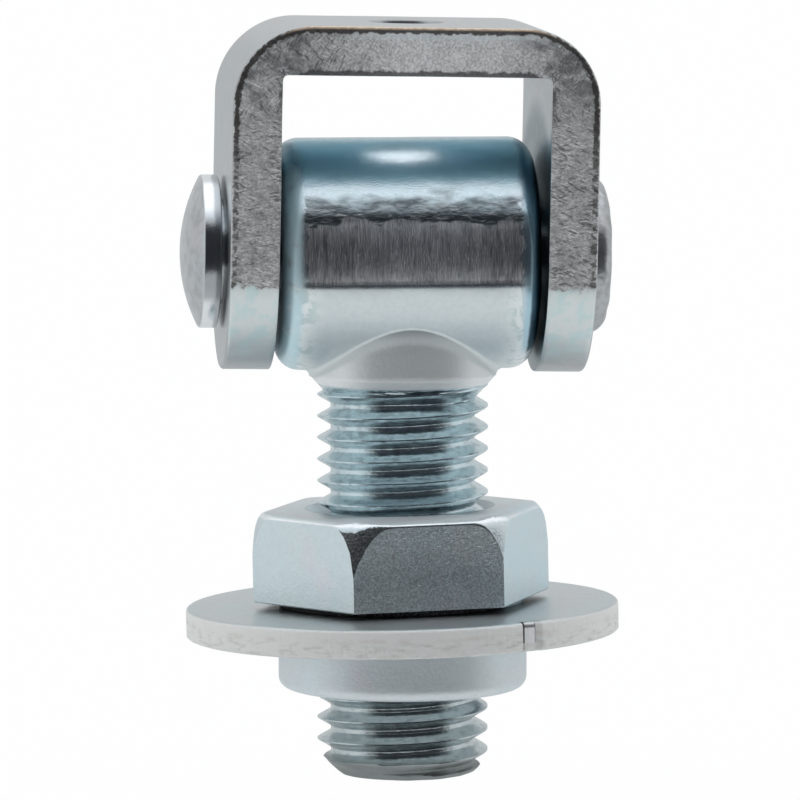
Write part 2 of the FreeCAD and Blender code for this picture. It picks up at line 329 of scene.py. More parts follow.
collar = Blank()
turns = steps(0, math.tau, 144)
edge = arc((COLLAR_RADIUS - COLLAR_EDGE, COLLAR_EDGE - COLLAR_DEPTH), (COLLAR_EDGE, COLLAR_EDGE), -90, 0, 8)
outline = [(MOUTH, -COLLAR_DEPTH)] + edge
outline += [(COLLAR_RADIUS, height) for height in steps(COLLAR_WALL, 0, 6)] + [(MOUTH, 0)]
collar.skin([[under_plate(around_z(radius, height, turn)) for turn in turns] for radius, height in outline])
tapped_hole(collar, turns, -COLLAR_DEPTH, 0)

turned = Plating("turned_zinc", TURNED_ZINC, roughness=0.50, metal=0.6)
turned.raise_by(0.004, turned.cloud(0.22, stretch=(12, 12, 1), detail=4))
turned.raise_by(0.012, turned.cloud(0.3, detail=5))
collar.make("collar_nut", "seat", "round_nut", turned.done())


# The plate washer is blanked out of 3.4 mm plate, which leaves a rough rim with a nick.
# It lies loose on the round nut, a little askew, until the lock nut clamps it.

PLATE_RADIUS = 25.0
PLATE_THICKNESS = 3.4
PLATE_BORE = 10.4
PLATE_EDGE = 0.5
LOW_EDGE = 0.25
BORE_EDGE = 0.2
PLATE_RINGS = (24.2, 20.0, 15.0, 11.0)
TEAR_LEVELS = (1.2, 2.3)
TEAR_DEPTH = 0.05
SHEAR_DEPTH = 0.025

NICK_TURN = 27.0  # degrees from the front to the right
NICK_GROOVE = 1.3  # and the places in the nick are degrees too
NICK_FACET = 4.1
NICK_END = 4.8
NICK_SHAPE = ((0.02, 0), (0.05, 0.8), (1.2, 0.8), (1.3, 0.5), (4.1, 0.2), (4.2, 0.55), (4.9, 0.5), (6.5, 0))

BLANKED_ZINC = (0.57, 0.59, 0.585)
RIM_ZINC = (0.84, 0.835, 0.81)
RIM_SPECKS = (0.66, 0.645, 0.62)
RIM_STAIN = (0.60, 0.54, 0.46)
# The nick's colours are painted light and shade: a highlight on its facet, shade in its groove and past the
# facet, and a dark reflection on the rim's top edge.
NICK_FACET_HIGHLIGHT = (0.93, 0.93, 0.92)
NICK_GROOVE_SHADE = (0.03, 0.03, 0.03)
NICK_END_SHADE = (0.16, 0.155, 0.15)
NICK_LIP_SHADE = (0.10, 0.10, 0.10)


def rim_radius(turn):
    """The plate's radius, which the nick's groove and facets cut into on the front right."""
    past = math.degrees(turn) - 270 - NICK_TURN
    for (start, first), (end, last) in zip(NICK_SHAPE, NICK_SHAPE[1:]):
        if start <= past < end:
            return PLATE_RADIUS - first - (last - first) * (past - start) / (end - start)
    return PLATE_RADIUS


def rim_wear(turn, height):
    """Torn lower half and fine shear lines of the blanked rim, in millimetres."""
    torn = 1 - ease(height, *TEAR_LEVELS)
    along = turn * PLATE_RADIUS
    lines = noise.noise(Vector((along / 0.35, height / 3, 3)))
    pits = noise.noise(Vector((along / 0.9, height / 0.5, 9)))
    return SHEAR_DEPTH * lines + TEAR_DEPTH * torn * min(pits, 0)


def rings(outline, turns):
    """Rows of points about the stem's line, one for each radius and height."""
    return [[around_z(radius, height, turn) for turn in turns] for radius, height in outline]


plate = Blank()
turns = sorted(steps(0, 360, 900) + [270 + NICK_TURN + past for past, _ in NICK_SHAPE])
turns = [math.radians(turn) for turn in turns]
rim = arc((-PLATE_EDGE, LOW_EDGE), (PLATE_EDGE, LOW_EDGE), -90, 0, 4)
rim += [(0, height) for height in steps(PLATE_EDGE, PLATE_THICKNESS - PLATE_EDGE, 8)[1:-1]]
rim += arc((-PLATE_EDGE, PLATE_THICKNESS - PLATE_EDGE), (PLATE_EDGE, PLATE_EDGE), 0, 90, 4)
rows = []
for inset, height in rim:
    row = []
    for turn in turns:
        wear = 0 if inset < 0.05 - PLATE_EDGE else rim_wear(turn, height)
        row.append(around_z(rim_radius(turn) + inset + wear, height, turn))
    rows.append(row)
bore = [(PLATE_BORE + BORE_EDGE, PLATE_THICKNESS), (PLATE_BORE, PLATE_THICKNESS - BORE_EDGE)]
bore += [(PLATE_BORE, BORE_EDGE), (PLATE_BORE + BORE_EDGE, 0)]
rows += rings([(radius, PLATE_THICKNESS) for radius in PLATE_RINGS], turns)
rows += rings(bore, turns)
rows += rings([(radius, 0) for radius in reversed(PLATE_RINGS)], turns)
plate.skin(rows + rows[:1])

blanked = Plating("blanked_zinc", BLANKED_ZINC, roughness=0.33, metal=0.85)
across, deep, level = blanked.split(blanked.place)
on_rim = blanked.rise(blanked.size(blanked.facing[2]), 0.85, 0.45)
torn = blanked.rise(level, 2.4, 1.3)
specks = blanked.cloud(0.8, stretch=(2, 2, 0.6), detail=5, low=0.45, high=0.75, seed=5)
stain = blanked.both(blanked.band(level, 1.9, 2.3, soft=0.25), blanked.cloud(2.5, low=0.45, high=0.6))
blanked.paint(RIM_ZINC, on_rim)
blanked.paint(RIM_SPECKS, on_rim, specks, torn)
blanked.paint(RIM_STAIN, on_rim, stain, 0.35)
blanked.dust(0.25, on_rim)
blanked.dull(0.62, on_rim)

# The nick is painted: a painted highlight on its facet, painted shade in its groove and past the facet, and a
# painted dark reflection along the rim's top edge over it.
past = blanked.math("SUBTRACT", blanked.bearing(across, deep), NICK_TURN)
on_nick = blanked.both(on_rim, blanked.rise(level, 0.9, 1.1))
blanked.paint(NICK_FACET_HIGHLIGHT, on_nick, blanked.band(past, NICK_GROOVE, NICK_FACET, soft=0.15))
blanked.paint(NICK_GROOVE_SHADE, on_nick, blanked.band(past, 0, NICK_GROOVE, soft=0.12))
blanked.paint(NICK_END_SHADE, on_nick, blanked.band(past, NICK_FACET, NICK_END, soft=0.12))
nick_lip_shade = blanked.both(blanked.band(past, 0, NICK_END, soft=0.2), blanked.band(level, 2.75, 3.1, soft=0.1))
blanked.paint(NICK_LIP_SHADE, on_rim, nick_lip_shade, 0.8)
blanked.raise_by(0.02, blanked.cloud(0.25, stretch=(1, 1, 6), detail=4), on_rim)
blanked.raise_by(0.02, blanked.cloud(0.35, detail=5), on_rim)
blanked.raise_by(0.004, blanked.cloud(0.35, detail=4))
plate.make("rim_plate", "seat", "plate_washer", blanked.done(), lean=askew)


# The lock nut is a thin hexagon nut, forged with a rounded crown and a low round seat, and zinc
# plated. It screws down on the plate, with which it stands askew, and locks the stem.

NUT_SEAT = 3.4
NUT_SEAT_RADIUS = 14.2
NUT_SEAT_EDGE = 0.2
NUT_FOOT = 4.2
NUT_FOOT_EDGE = 0.15
NUT_TOP = 14.6
NUT_FLAT = 15.2
NUT_TURN = 6.0
NUT_CORNER = 0.55
THREAD_PLAY = 0.34

EDGE_WIDTH = 2.0
EDGE_DROP = 0.75
CORNER_START = 15.9
CORNER_WIDTH = 1.6
CORNER_DROPS = (2.2, 2.9)
CUT_MIDDLE = (-3.1, 1.0)
CUT_START = 16.5
CUT_DROPS = (4.9, 2.6)
CROWN_START = 12.4
MOUTH_EDGE = 11.9

GRAINED_ZINC = (0.70, 0.77, 0.785)
# Painted shade on the nut's flat top.
TOP_FACE_SHADE = (0.66, 0.69, 0.70)
# Painted highlight on the crown's rounding.
CROWN_HIGHLIGHT = (0.90, 0.93, 0.94)
# Painted light on the front of the nut's flat top.
CROWN_FRONT_LIGHT = (0.80, 0.82, 0.83)
# Painted shade in the nut's bore mouth.
MOUTH_SHADE = (0.22, 0.29, 0.32)
# Painted dark reflection on the nut's cut-back corners.
CUT_DARK_REFLECTION = (0.07, 0.073, 0.077)
# Painted shade in the gap under the nut.
NUT_GAP_SHADE = (0.04, 0.04, 0.042)
SPECKLE_GREY = (0.26, 0.27, 0.28)
# Painted blue reflection on the nut's right faces.
RIGHT_BLUE_REFLECTION = (0.64, 0.79, 0.84)


def off_flat(turn):
    """Degrees from the middle of the nearest of the nut's flats."""
    return (math.degrees(turn) - 270 - NUT_TURN + 30) % 60 - 30


def hexagon(turn):
    """Radius of the nut's wall, with its upright corners a little rounded."""
    flat = NUT_FLAT / math.cos(math.radians(off_flat(turn)))
    middle = (NUT_FLAT - NUT_CORNER) / math.cos(math.radians(30))
    from_corner = math.radians(30 - abs(off_flat(turn)))
    beside = middle * math.sin(from_corner)
    if beside >= NUT_CORNER:
        return flat
    return min(flat, middle * math.cos(from_corner) + math.sqrt(NUT_CORNER**2 - beside**2))


def crown_height(radius, turn):
    """Height of the nut's top, rounded along the flats and cut back at the corners.

    The front left corner is cut back once more, round a middle that lies further left.
    """
    inset = NUT_FLAT - radius * math.cos(math.radians(off_flat(turn)))
    share = min(max(EDGE_WIDTH - inset, 0) / EDGE_WIDTH, 1)
    edge = EDGE_DROP * (1 - math.sqrt(1 - share**2))
    past = max(radius - CORNER_START, 0) / CORNER_WIDTH
    corner = CORNER_DROPS[0] * past + CORNER_DROPS[1] * past**4
    across, deep = radius * math.cos(turn), radius * math.sin(turn)
    past = max(math.hypot(across - CUT_MIDDLE[0], deep - CUT_MIDDLE[1]) - CUT_START, 0)
    past *= ease(-across, 0, 1.5)
    corner = max(corner, CUT_DROPS[0] * past + CUT_DROPS[1] * past**4)
    return NUT_TOP - (edge**3 + corner**3) ** (1 / 3)


turns = []
for side in range(6):
    for off in [-30, -29.7, -29.4, -29.1, -28.5] + steps(-27, 27, 36) + [28.5, 29.1, 29.4, 29.7]:
        turns.append(math.radians((NUT_TURN + 60 * side + off) % 360))
turns.sort()
turns.append(turns[0] + math.tau)

nut = Blank()
columns = []
for turn in turns:
    wall = hexagon(turn)
    places = [CROWN_START + (wall - CROWN_START) * math.cos(share) for share in steps(0, math.pi / 2, 22)]
    crown = [(place, crown_height(place, turn)) for place in places]
    profile = [(MOUTH, NUT_SEAT), (NUT_SEAT_RADIUS - NUT_SEAT_EDGE, NUT_SEAT)]
    profile += [(NUT_SEAT_RADIUS, NUT_SEAT + NUT_SEAT_EDGE), (NUT_SEAT_RADIUS, NUT_FOOT)]
    profile += [(wall - NUT_FOOT_EDGE, NUT_FOOT), (wall, NUT_FOOT + NUT_FOOT_EDGE)]
    profile += [(wall, height) for height in steps(NUT_FOOT + 0.7, crown[0][1] - 0.2, 8)]
    profile += crown + [(MOUTH_EDGE, NUT_TOP), (MOUTH, NUT_TOP)]
    columns.append([around_z(radius, height, turn) for radius, height in profile])
nut.skin(columns)
tapped_hole(nut, turns, NUT_SEAT, NUT_TOP, THREAD_PLAY)

grained = Plating("grained_zinc", GRAINED_ZINC, roughness=0.40, metal=0.86)
across, deep, level = grained.split(grained.place)
upward = grained.facing[2]
bearing = grained.bearing(grained.facing[0], grained.facing[1])
# Painted shade: the flat top of the nut is painted darker and greyer than its walls.
grained.paint(TOP_FACE_SHADE, grained.rise(upward, 0.93, 0.99))
# Painted highlight along the crown's rounding, which is also made smoother.
rounded = grained.band(upward, 0.55, 0.90, soft=0.06)
grained.paint(CROWN_HIGHLIGHT, rounded)
grained.dull(0.30, rounded)
# Painted light: the front strip of the flat top is painted paler and made less of a mirror.
before = grained.both(grained.rise(deep, -10.2, -11.2), grained.rise(grained.size(across), 10, 7))
before = grained.both(before, grained.rise(upward, 0.85, 0.95))
grained.paint(CROWN_FRONT_LIGHT, before)
grained.dust(0.40, before)
# Painted shade: dark blue in the bore's mouth and thread.
grained.paint(MOUTH_SHADE, grained.rise(grained.distance(across, deep), 11.1, 10.8), 0.7)
# Painted dark reflection: the steep cut-back facets at the front corners are painted near black.
dark_cut_facets = grained.both(grained.band(bearing, -40, 24, soft=2), grained.band(upward, 0.05, 0.42, soft=0.02))
grained.paint(CUT_DARK_REFLECTION, dark_cut_facets, 0.96)
# Painted shade: the seat ring below the foot and every face turned down are painted black, for the shade in
# the gap over the plate.
gap_shade = grained.rise(level, NUT_FOOT - 0.02, NUT_FOOT - 0.08)
gap_shade = grained.math("MAXIMUM", gap_shade, grained.rise(upward, -0.8, -0.95))
grained.paint(NUT_GAP_SHADE, gap_shade)
grained.dull(0.7, gap_shade)
on_front = grained.both(grained.band(bearing, -40, 37, soft=2), grained.rise(upward, 0.5, 0.3))
grained.paint(SPECKLE_GREY, on_front, grained.cloud(0.22, low=0.42, high=0.58, seed=3), 0.45)
# Painted reflection: patchy pale blue on the faces turned to the right.
right_reflection_patches = grained.both(grained.band(bearing, 50, 90, soft=5), grained.cloud(3.5, low=0.2, high=0.6, seed=8))
grained.paint(RIGHT_BLUE_REFLECTION, right_reflection_patches, 0.7)
grained.raise_by(0.045, grained.cloud(0.22, stretch=(1.6, 1.6, 1), detail=5, low=0.25, high=0.75), on_front)
grained.raise_by(0.015, grained.cloud(0.3, detail=5))
nut.make("hexagon_nut", "locking_nut", "lock_nut", grained.done(), crease=25, lean=askew)


# The eye bolt is one drop forging: a barrel across, a short neck and a rolled thread.
# The trimmed seam of the forging leaves a scratched band along the barrel's front and back.

PIN_LEVEL = 43.95
BARREL_RADIUS = 13.35
BARREL_HALF = 14.8
BARREL_EDGE = 2.75
EYE_RADIUS = 6.4
EYE_BEVEL = 0.5
NECK_RADIUS = 10.8
NECK_FOOT = 30.0
NECK_SLOPE = 0.9
NECK_FILLET = 0.75
NECK_ROOT = 10.0  # how near the pin's line the neck's hidden end comes
STEM_END = -16.2
STEM_END_RINGS = ((0, 0.12), (3, 0.1), (6, 0.04))
TIP_RADIUS = 7.75
TIP_LEAN = 0.4
TIP_BURR = 0.45
SKIN_DEPTH = 0.03
SEAM_DEPTH = 0.10
SEAM_FOOT = -11.5  # degrees above the pin's level, as for the next ones
SEAM_LEDGE = 23
SEAM_TOP = 41
SEAM_HALF = 12.9

FORGED_ZINC = (0.58, 0.655, 0.685)
# Painted teal reflection on the barrel's top.
TOP_TEAL_REFLECTION = (0.52, 0.67, 0.73)
# Painted highlight on the barrel.
SPOT_HIGHLIGHT = (0.92, 0.97, 1.0)
SEAM_GREY = (0.40, 0.39, 0.42)
SEAM_END_GREY = (0.18, 0.175, 0.195)
STREAK_LIGHT = (0.72, 0.74, 0.76)
SCRATCH_LIGHT = (0.85, 0.87, 0.88)
TORN_BLACK = (0.09, 0.105, 0.115)
BLOT_GREY = (0.58, 0.61, 0.63)
# Painted light on the barrel's lower half.
LOW_HALF_LIGHT = (0.70, 0.765, 0.78)
MOTTLE_GREY = (0.58, 0.64, 0.66)
# Painted glint at the barrel's lower corners.
LOW_END_GLINT = (0.91, 0.965, 0.965)
# Painted teal reflection round those glints.
LOW_END_TEAL_REFLECTION = (0.45, 0.60, 0.60)
# Painted shade on the barrel's right end.
RIGHT_END_SHADE = (0.34, 0.53, 0.63)
# Painted teal reflection on the barrel's left end.
LEFT_END_REFLECTION = (0.62, 0.81, 0.86)
NECK_GREY = (0.69, 0.72, 0.73)
# Painted light on the neck's sides.
NECK_SIDE_LIGHT = (0.98, 1.0, 1.0)
# Painted highlight on the fillet under the neck.
JOINT_HIGHLIGHT = (0.80, 0.84, 0.84)
THREAD_BLUE = (0.58, 0.69, 0.725)
# Painted shade on the lower thread.
LOW_THREAD_SHADE = (0.48, 0.51, 0.51)
THREAD_STAIN = (0.30, 0.35, 0.37)
TIP_GREY = (0.19, 0.205, 0.20)


def around_x(along, radius, turn):
    """A point about the pin's line; turn 0 faces the front and a quarter turn is up."""
    return Vector((along, -radius * math.cos(turn), PIN_LEVEL + radius * math.sin(turn)))


def barrel_swell(along, turn):
    """Uneven skin of the forging and the flats that trimming left on its front and back."""
    above_pin = math.degrees(math.atan2(math.sin(turn), abs(math.cos(turn))))
    edge = 1.2 * noise.noise(Vector((along / 4, 0, 7)))
    flat = ease(above_pin, SEAM_FOOT - 1, SEAM_FOOT + 1)
    flat *= 1 - ease(above_pin + edge, SEAM_LEDGE - 3, SEAM_LEDGE)
    flat *= 1 - ease(abs(along), SEAM_HALF - 1, SEAM_HALF)
    skin = noise.noise(Vector((along / 6, 3 * math.cos(turn), 3 * math.sin(turn))))
    return SKIN_DEPTH * skin - SEAM_DEPTH * flat


def stem_radius(height, turn):
    """The stem's thread, its bevelled end and the taper up to the neck."""
    bevel = TIP_RADIUS + TIP_LEAN * math.cos(turn) + height - STEM_END
    taper = NECK_RADIUS - NECK_SLOPE * max(NECK_FOOT - height, 0)
    wear = 0.02 * noise.noise(Vector((turn * 9, height / 0.7, 2)))
    burr = TIP_BURR * ease(-height, 12.5, 15.0) * noise.noise(Vector((turn * 2.5, height, 4)))
    return max(min(ridge(height, turn), bevel + burr), taper) + wear * (height < 27)


eye = Blank()
inner_edge = BARREL_HALF - BARREL_EDGE
shoulder = BARREL_RADIUS - BARREL_EDGE
rounding = (BARREL_EDGE, BARREL_EDGE)
outline = [(-BARREL_HALF, EYE_RADIUS + EYE_BEVEL)]
outline += arc((-inner_edge, shoulder), rounding, 180, 90, 10)
outline += [(along, BARREL_RADIUS) for along in steps(-inner_edge, inner_edge, 48)[1:-1]]
outline += arc((inner_edge, shoulder), rounding, 90, 0, 10)
outline += [(BARREL_HALF, EYE_RADIUS + EYE_BEVEL)]
outline += [(BARREL_HALF - EYE_BEVEL, EYE_RADIUS), (EYE_BEVEL - BARREL_HALF, EYE_RADIUS)]
outline += [(-BARREL_HALF, EYE_RADIUS + EYE_BEVEL)]
rows = []
for along, radius in outline:
    row = []
    for turn in steps(0, math.tau, 240):
        swell = barrel_swell(along, turn) if radius > shoulder + 0.1 else 0
        row.append(around_x(along, radius + swell, turn))
    rows.append(row)
eye.skin(rows)

turns = steps(0, math.tau, 144)
rows = rings([(radius, STEM_END + lift) for radius, lift in STEM_END_RINGS], turns)
eye.skin(rows + [[around_z(stem_radius(STEM_END, turn), STEM_END, turn) for turn in turns]])
cut_thread(eye, turns, STEM_END, NECK_FOOT, stem_radius)

columns = []
for turn in turns:
    ball = around_z(NECK_RADIUS + NECK_FILLET, 0, turn)
    ball.z = PIN_LEVEL - math.sqrt((BARREL_RADIUS + NECK_FILLET) ** 2 - ball.y**2)
    column = [around_z(NECK_RADIUS, height, turn) for height in steps(NECK_FOOT, ball.z, 8)]
    to_neck = -around_z(1, 0, turn)
    to_barrel = Vector((0, -ball.y, PIN_LEVEL - ball.z)).normalized()
    for share in steps(0, 1, 8)[1:]:
        column.append(ball + NECK_FILLET * to_neck.slerp(to_barrel, share))
    last = column[-1]
    lean = math.atan2(last.y, PIN_LEVEL - last.z)
    for share in steps(1, 0, 8):
        level = PIN_LEVEL - NECK_ROOT * math.cos(lean * share)
        column.append(Vector((last.x * share, NECK_ROOT * math.sin(lean * share), level)))
    columns.append(column)
eye.skin(columns)

forged = Plating("forged_zinc", FORGED_ZINC, roughness=0.25)
across, deep, high = forged.split(forged.place)
beside = forged.size(across)
drop = forged.math("SUBTRACT", high, PIN_LEVEL)
above_pin = forged.angle(drop, forged.size(deep))
from_pin = forged.distance(deep, drop)
ragged = forged.math("MULTIPLY", forged.cloud(1.6, stretch=(2.2, 1, 1), detail=5), 8)
ragged = forged.math("ADD", above_pin, ragged)
# Painted reflection: the top of the barrel is painted teal.
forged.paint(TOP_TEAL_REFLECTION, forged.rise(above_pin, 38, 48))
# Painted highlight: a white spot on the barrel's upper front.
highlight_spot = forged.both(forged.band(above_pin, 52, 63, soft=5), forged.band(across, -4.5, 6.0, soft=3.5))
forged.paint(SPOT_HIGHLIGHT, highlight_spot, 0.75)

wide = forged.math("ADD", beside, forged.cloud(1.5))
seam = forged.rise(above_pin, SEAM_FOOT - 0.1, SEAM_FOOT + 0.6)
seam = forged.both(seam, forged.rise(ragged, SEAM_TOP, 29))
seam = forged.both(seam, forged.rise(wide, SEAM_HALF + 0.1, SEAM_HALF - 0.2))
ledge = forged.rise(ragged, SEAM_LEDGE + 1.5, SEAM_LEDGE)
trimmed = forged.both(seam, ledge)
torn = forged.both(seam, forged.without(ledge))
scratch = forged.cloud(0.16, stretch=(1, 14, 14))
streak = forged.cloud(1.1, stretch=(1, 6, 6), detail=4, low=0.35, high=0.7, seed=4)
pits = forged.cloud(0.35, stretch=(2.2, 1, 1), detail=5, low=0.35, high=0.65, seed=8)
blots = forged.cloud(0.55, stretch=(3, 1, 1), detail=5, low=0.50, high=0.66, seed=12)
forged.paint(SEAM_GREY, trimmed, 0.75)
forged.paint(SEAM_END_GREY, trimmed, forged.rise(beside, 3, 11), 0.75)
forged.paint(STREAK_LIGHT, trimmed, streak, 0.55)
forged.paint(SCRATCH_LIGHT, trimmed, scratch, 0.45)
forged.paint(TORN_BLACK, torn, 0.9)
forged.paint(BLOT_GREY, torn, blots, 0.5)
forged.dull(0.36, seam)
forged.raise_by(0.04, scratch, trimmed)
forged.raise_by(0.02, pits, torn)
forged.raise_by(0.009, forged.cloud(0.20, stretch=(1.2, 1, 1), detail=4), forged.rise(above_pin, 24, 34))

# Painted light: the barrel's lower half is painted paler than its upper half, and made rougher and less of a
# mirror.
sunk = forged.math("ADD", above_pin, forged.rise(across, 12.0, 13.4, top=45))
lit_lower_half = forged.both(forged.rise(sunk, SEAM_FOOT, SEAM_FOOT - 2.5), forged.rise(from_pin, 13.9, 13.45))
forged.paint(LOW_HALF_LIGHT, lit_lower_half)
forged.dull(0.31, lit_lower_half)
forged.dust(0.76, lit_lower_half)
forged.paint(MOTTLE_GREY, lit_lower_half, forged.cloud(0.6, detail=5, low=0.40, high=0.70, seed=23), 0.3)
# Painted glints: the barrel's lower corners are painted white, with patches of painted teal reflection.
glinting_low_ends = forged.both(lit_lower_half, forged.rise(beside, 9.5, 13))
forged.paint(LOW_END_GLINT, glinting_low_ends)
forged.paint(LOW_END_TEAL_REFLECTION, glinting_low_ends, forged.cloud(1.1, detail=5, low=0.48, high=0.60, seed=33), 0.7)
forged.dust(0.36, glinting_low_ends)
# Painted shade and reflection: the barrel's right end is painted dark teal and its left end patchy pale teal.
shaded_right_end = forged.both(forged.rise(across, 12.2, 13.2), forged.band(above_pin, -56, 60, soft=8))
forged.paint(RIGHT_END_SHADE, shaded_right_end, 0.8)
reflecting_left_end = forged.both(forged.rise(across, -12.2, -13.2), forged.rise(above_pin, 60, 45))
reflecting_left_end = forged.both(reflecting_left_end, forged.cloud(1.3, detail=4, low=0.15, high=0.50))
forged.paint(LEFT_END_REFLECTION, reflecting_left_end)
forged.dull(0.40, reflecting_left_end)
forged.dust(0.62, reflecting_left_end)
forged.raise_by(0.03, forged.cloud(4, detail=2))

on_thread = forged.rise(high, 29.2, 28.9)
on_neck = forged.both(forged.rise(from_pin, 13.45, 14.3), forged.without(on_thread))
forged.dull(0.54, on_neck)
forged.dust(0.66, on_neck)
forged.paint(NECK_GREY, on_neck)
forged.raise_by(0.02, forged.cloud(0.35, stretch=(1, 1, 2), detail=4), on_neck)
# Painted light: the neck's sides are painted white and made less of a mirror, so its middle stays darker.
lit_neck_sides = forged.both(on_neck, forged.rise(beside, 4, 8.5))
forged.paint(NECK_SIDE_LIGHT, lit_neck_sides)
forged.dust(0.36, lit_neck_sides)
# Painted highlight: the fillet under the neck is painted a soft matt white.
joint_highlight = forged.both(forged.band(from_pin, 13.45, 14.4, soft=0.25), forged.rise(above_pin, -30, -45))
forged.paint(JOINT_HIGHLIGHT, joint_highlight)
forged.dull(0.60, joint_highlight)
forged.dust(0.45, joint_highlight)

forged.paint(THREAD_BLUE, on_thread)
# Painted shade: the thread is painted darker towards its lower end.
forged.paint(LOW_THREAD_SHADE, forged.rise(high, -5, -8), 0.65)
stain = forged.cloud(0.5, stretch=(2.5, 2.5, 1), detail=4, low=0.50, high=0.66, seed=15)
forged.paint(THREAD_STAIN, on_thread, stain, 0.5)
forged.raise_by(0.012, forged.cloud(0.3, stretch=(2, 2, 1), detail=4), on_thread)
forged.dull(0.21, on_thread)
tip = forged.rise(high, -13.4, -14.6)
forged.paint(TIP_GREY, tip, 0.8)
forged.dull(0.5, tip)
eye.make("eye_stem", "stem", "eye_bolt", forged.done(), crease=50)


# The bracket is a sheared flat bar, punched three times and folded into a U that leans a little
# on its pin. Its front and back faces keep the shear's rough grain, except round the leg ends.

BAR_HALF = 13.5
BAR_THICKNESS = 5.6
HALF_BAR = BAR_THICKNESS / 2
LEG_MIDDLE = 18.1
WEB_MIDDLE = 67.75
LEFT_BEND = 9.2
RIGHT_BEND = 8.7
INNER_BEND = 0.6
BEND_SIDE = LEG_MIDDLE + HALF_BAR - LEFT_BEND
BEND_LEVEL = WEB_MIDDLE + HALF_BAR - LEFT_BEND
BEND_LENGTH = 10.7
LEG_END = PIN_LEVEL - BAR_HALF
LEG_LENGTH = BEND_LEVEL - LEG_END
BAR_LENGTH = 2 * (LEG_LENGTH + BEND_LENGTH + BEND_SIDE)
HOLES = ((BAR_HALF, 6.02), (BAR_LENGTH / 2, 4.25), (BAR_LENGTH - BAR_HALF, 6.02))
HOLE_EDGES = ((0.25, HALF_BAR), (0.08, HALF_BAR - 0.06), (0, HALF_BAR - 0.25))
HOLE_EDGES += ((0, 0.2 - HALF_BAR), (0.1, -HALF_BAR))
EDGE_ROLL = 0.35
INNER_EDGE = 0.2
GRID = 0.6  # the face's inner points keep this far from its edges
BAR_WAVE = 0.012
BEND_NARROWING = 0.008
GRAIN_DEPTH = 0.035
GRAIN_WAVE = 0.03
BAR_LEAN = math.radians(1.03)
LEAN_LEVEL = 45 * MM

SHEARED_ZINC = (0.47, 0.485, 0.49)
# Painted light on the bracket's faces turned up.
WEB_TOP_LIGHT = (0.53, 0.545, 0.545)
# Painted shade on the legs' inner faces round the pin.
LEG_GAP_SHADE = (0.12, 0.17, 0.20)
# Painted light-blue reflection on the web's underside.
UNDERSIDE_REFLECTION = (0.42, 0.64, 0.74)
LEG_GROUND = (0.74, 0.74, 0.73)
WEB_GROUND = (1.0, 1.0, 0.985)
BLOTCH_GREY = (0.24, 0.24, 0.235)
GRIT_GREY = (0.20, 0.20, 0.20)
STROKE_WHITE = (1.0, 1.0, 0.98)
STROKE_BLACK = (0.10, 0.10, 0.10)
SMUDGE_BLACK = (0.09, 0.09, 0.095)
EDGE_LIGHT = (0.80, 0.86, 0.88)
EDGE_LINE_BLACK = (0.045, 0.038, 0.035)
INNER_LINE_BLACK = (0.07, 0.07, 0.07)
# Rust tint and painted rim highlight on the web's top front edge.
RUST_AND_RIM_HIGHLIGHT = (0.82, 0.62, 0.44)
CREASE_LIGHT = (0.92, 0.93, 0.93)
# Painted light on the smooth leg ends.
LEG_END_LIGHT = (0.80, 0.85, 0.85)
# Painted teal reflection on the smooth leg ends.
LEG_END_TEAL_REFLECTION = (0.58, 0.76, 0.76)


def bend_path(share, out, radius):
    """A point of one face's bend, from the leg at 0 to the web at 1."""
    side = LEG_MIDDLE + out - radius
    level = WEB_MIDDLE + out - radius
    straight = level - BEND_LEVEL
    curve = radius * math.pi / 2
    along = share * (2 * straight + curve)
    if along < straight:
        return Vector((side + radius, BEND_LEVEL + along))
    if along > straight + curve:
        return Vector((side - (along - straight - curve), level + radius))
    turn = (along - straight) / radius
    return Vector((side + radius * math.cos(turn), level + radius * math.sin(turn)))


def fold(along, over, out):
    """Where a point of the flat bar comes to lie once its legs are folded down."""
    out *= 1 + BAR_WAVE * noise.noise(Vector((along / 9, over / 9, 5)))
    right = along > BAR_LENGTH / 2
    along = BAR_LENGTH - along if right else along
    bend = math.exp(-((along - LEG_LENGTH - BEND_LENGTH / 2) / 4) ** 2)
    over *= 1 - BEND_NARROWING * out * bend
    if along < LEG_LENGTH:
        side, level = LEG_MIDDLE + out, LEG_END + along
    elif along < LEG_LENGTH + BEND_LENGTH:
        share = (along - LEG_LENGTH) / BEND_LENGTH
        inner = bend_path(share, -HALF_BAR, INNER_BEND)
        outer = bend_path(share, HALF_BAR, RIGHT_BEND if right else LEFT_BEND)
        side, level = inner.lerp(outer, out / BAR_THICKNESS + 0.5)
    else:
        side, level = BEND_SIDE - (along - LEG_LENGTH - BEND_LENGTH), WEB_MIDDLE + out
    return Vector((side if right else -side, over, level))


def bar_places(start, end):
    """Places along the bar, closer together in its bends."""
    places = [start]
    while places[-1] < end:
        near = min(places[-1], BAR_LENGTH - places[-1]) - LEG_LENGTH
        places.append(places[-1] + (0.3 if -0.5 < near < BEND_LENGTH + 0.5 else 0.8))
    return places[:-1] + [end]


def bar_outline():
    """Points round the flat bar, each with its outward direction."""
    start, end = BAR_HALF, BAR_LENGTH - BAR_HALF
    straight = bar_places(start, end)
    points = [(along, -BAR_HALF, 0, -1) for along in straight[:-1]]
    for turn in steps(-math.pi / 2, math.pi / 2, 80)[:-1]:
        way = (math.cos(turn), math.sin(turn))
        points.append((end + BAR_HALF * way[0], BAR_HALF * way[1], *way))
    points += [(along, BAR_HALF, 0, 1) for along in reversed(straight[1:])]
    for turn in steps(math.pi / 2, math.pi * 1.5, 80)[:-1]:
        way = (math.cos(turn), math.sin(turn))
        points.append((start + BAR_HALF * way[0], BAR_HALF * way[1], *way))
    return points + points[:1]


